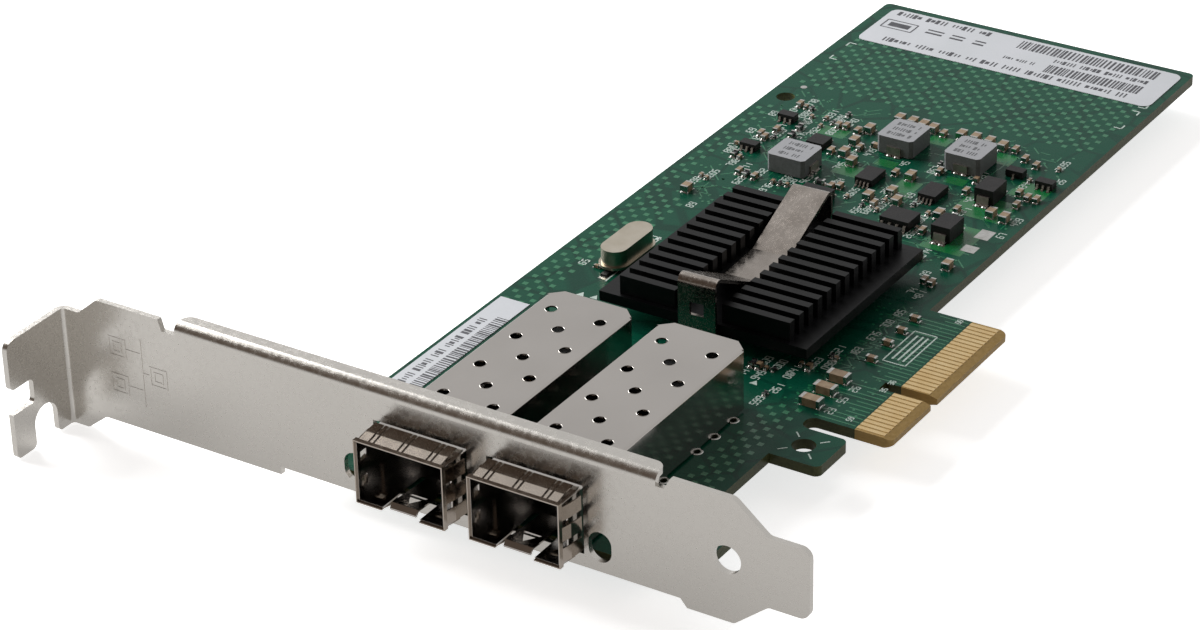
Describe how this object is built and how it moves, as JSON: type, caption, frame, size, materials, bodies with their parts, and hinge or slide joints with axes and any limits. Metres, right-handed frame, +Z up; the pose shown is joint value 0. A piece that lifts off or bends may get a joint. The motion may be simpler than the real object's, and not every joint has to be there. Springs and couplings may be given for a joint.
{
  "type": "network interface card",
  "caption": "Low-profile-board network card on a full-height slot bracket, with caged transceiver ports, a clipped heat sink and an edge connector.",
  "frame": {"origin": "middle of the card's footprint, at the level of the bracket's lowest edge", "axes": "+X along the bracket from its screw tab to its tongue, +Y from the bracket to the board's far end, +Z up out of the component side"},
  "size_m": [0.12, 0.182, 0.0213],
  "materials": {
    "solder_mask": "green solder mask over glass-epoxy laminate, with laminate-coloured edges",
    "gold_plating": "gold-plated copper",
    "nickel_sheet": "nickel-plated steel sheet, satin",
    "zinc_screw": "zinc-plated steel",
    "cage_nickel": "nickel-silver sheet, satin",
    "collar_nickel": "bright nickel-plated spring sheet",
    "black_insulator": "moulded liquid-crystal polymer",
    "chip_laminate": "green chip laminate",
    "black_epoxy": "moulded epoxy",
    "tin_solder": "reflowed tin",
    "tinned_copper": "matte tin plating",
    "tinned_wire": "tinned steel wire",
    "thermal_silicone": "grey thermal silicone",
    "black_anodised": "black anodised extrusion",
    "spring_nickel": "nickel-plated spring steel",
    "crystal_nickel": "welded nickel can, satin",
    "pressed_iron": "pressed iron powder with a pale grey top",
    "capacitor_ceramic": "sintered ceramic, tan",
    "label_paper": null
  },
  "bodies": {
    "root": {"circuit_board": "solder_mask", "edge_contacts": "gold_plating", "bracket": "nickel_sheet", "bracket_screws": "zinc_screw", "controller_substrate": "chip_laminate", "controller_mould": "black_epoxy", "solder_balls": "tin_solder", "thermal_pad": "thermal_silicone", "heat_sink": "black_anodised", "heat_sink_clip": "spring_nickel", "clip_wires": "tinned_wire", "crystal_can": "crystal_nickel", "crystal_base": "black_insulator", "inductor_terminals": "tinned_copper", "moulded_diodes": "black_epoxy", "diode_terminals": "tinned_copper", "memory_chips": "black_epoxy", "power_chips": "black_epoxy", "small_chips": "black_epoxy", "chip_leads": "tinned_copper", "product_label": "label_paper", "serial_label": "label_paper", "cage_1_shell": "cage_nickel", "cage_1_base": "cage_nickel", "cage_1_collar": "collar_nickel", "port_1_connector": "black_insulator", "port_1_contacts": "gold_plating", "cage_2_shell": "cage_nickel", "cage_2_base": "cage_nickel", "cage_2_collar": "collar_nickel", "port_2_connector": "black_insulator", "port_2_contacts": "gold_plating", "inductor_1": "pressed_iron", "inductor_2": "pressed_iron", "inductor_3": "pressed_iron", "filter_capacitors_bodies": "capacitor_ceramic", "filter_capacitors_ends": "tin_solder", "bypass_capacitors_bodies": "capacitor_ceramic", "bypass_capacitors_ends": "tin_solder", "input_capacitors_bodies": "capacitor_ceramic", "input_capacitors_ends": "tin_solder", "coupling_capacitors_bodies": "capacitor_ceramic", "coupling_capacitors_ends": "tin_solder"}
  },
  "joints": []
}
